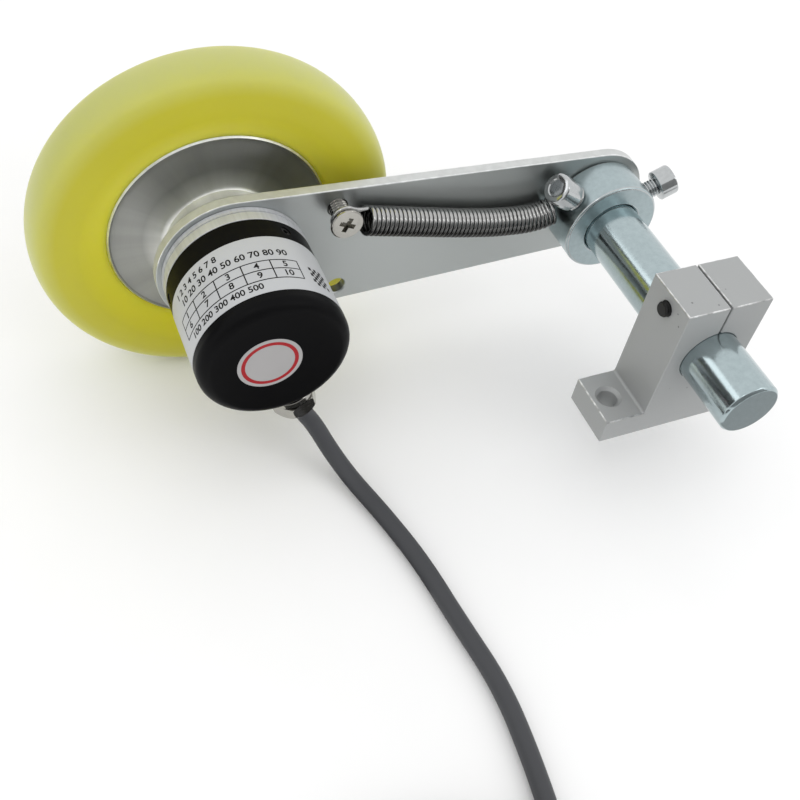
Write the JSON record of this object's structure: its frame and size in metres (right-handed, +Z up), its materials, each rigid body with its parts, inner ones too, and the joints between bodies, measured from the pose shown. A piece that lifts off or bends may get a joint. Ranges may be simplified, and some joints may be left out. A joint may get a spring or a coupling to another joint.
{
  "type": "measuring wheel encoder",
  "caption": "Spring-arm measuring wheel: a yellow tyred wheel turns a round encoder on a flat arm that swings on a shaft in a bolted block.",
  "frame": {"origin": "middle of the support block's underside, midway between its two bolt holes", "axes": "+Z up from the block's base, +Y along the pivot shaft towards the wheel, -X along the arm to the wheel's axle"},
  "size_m": [0.2, 0.228, 0.0954],
  "materials": {
    "support_aluminium": "satin, faint extrusion grain",
    "zinc_plated_steel": "blue-white zinc plating, semi-bright",
    "black_oxide_steel": "black oxide",
    "arm_aluminium": "satin sheet with bright edges",
    "bearing_bronze": "sintered",
    "nickel_screw": "nickel plated",
    "spring_steel": "bright drawn wire",
    "flange_aluminium": "fine turned",
    "cover_aluminium": "black anodised",
    "seal_rubber": "black nitrile",
    "bearing_steel": "ground",
    "disc_glass": "clear with a metal track",
    "board_laminate": "green solder mask",
    "black_plastic": "moulded",
    "gland_nickel": "nickel-plated brass",
    "cable_pvc": "dark grey sheath",
    "lead_copper": "tinned copper in coloured sleeves",
    "hub_aluminium": "turned",
    "tyre_polyurethane": "cast yellow polyurethane, slightly clear"
  },
  "bodies": {
    "support": {"support_block": "support_aluminium", "block_clamp_screw": "black_oxide_steel"},
    "shaft": {"pivot_shaft": "zinc_plated_steel", "retaining_washer": "zinc_plated_steel", "retaining_screw": "zinc_plated_steel"},
    "collar": {"tension_collar": "zinc_plated_steel", "collar_lock_screw": "zinc_plated_steel", "spring_anchor_screw": "zinc_plated_steel"},
    "arm": {"arm_plate": "arm_aluminium", "pivot_bush": "bearing_bronze", "spring_post_screw": "nickel_screw", "tension_spring": "spring_steel", "encoder_flange": "flange_aluminium", "flange_screws": "black_oxide_steel", "encoder_cover": "cover_aluminium", "cover_screws": "black_oxide_steel", "cover_seal": "seal_rubber", "front_bearing_outer_ring": "bearing_steel", "rear_bearing_outer_ring": "bearing_steel", "front_bearing_balls": "bearing_steel", "rear_bearing_balls": "bearing_steel", "circuit_board": "board_laminate", "board_posts": "nickel_screw", "board_screws": "nickel_screw", "light_reader": "black_plastic", "lamp_block": "black_plastic", "gland_body": "gland_nickel", "gland_nut": "gland_nickel", "gland_seal": "seal_rubber", "signal_cable": "cable_pvc", "cable_coil": "cable_pvc", "coil_tie": "black_plastic", "cable_tail": "cable_pvc", "cable_leads": "lead_copper"},
    "wheel": {"encoder_shaft": "bearing_steel", "front_bearing_inner_ring": "bearing_steel", "rear_bearing_inner_ring": "bearing_steel", "disc_hub": "flange_aluminium", "code_disc": "disc_glass", "wheel_hub": "hub_aluminium", "wheel_tyre": "tyre_polyurethane", "hub_set_screws": "black_oxide_steel"}
  },
  "joints": [
    {"name": "shaft_slide", "type": "slide", "parent": "support", "child": "shaft", "axis": [0, 1, 0], "range_m": [-0.03, 0.018]},
    {"name": "collar_turn", "type": "hinge", "parent": "shaft", "child": "collar", "pos_m": [0, 0.0479, 0.027], "axis": [0, 1, 0], "range_deg": [-30, 30]},
    {"name": "arm_swing", "type": "hinge", "parent": "collar", "child": "arm", "pos_m": [0, 0.0555, 0.027], "axis": [0, 1, 0], "range_deg": [-25, 35], "stiffness_Nm_per_rad": 1.5, "springref_deg": 11.86, "deforming": ["tension_spring"]},
    {"name": "wheel_spin", "type": "hinge", "parent": "arm", "child": "wheel", "pos_m": [-0.105, 0.0733, 0.027], "axis": [0, 1, 0], "continuous": true}
  ]
}
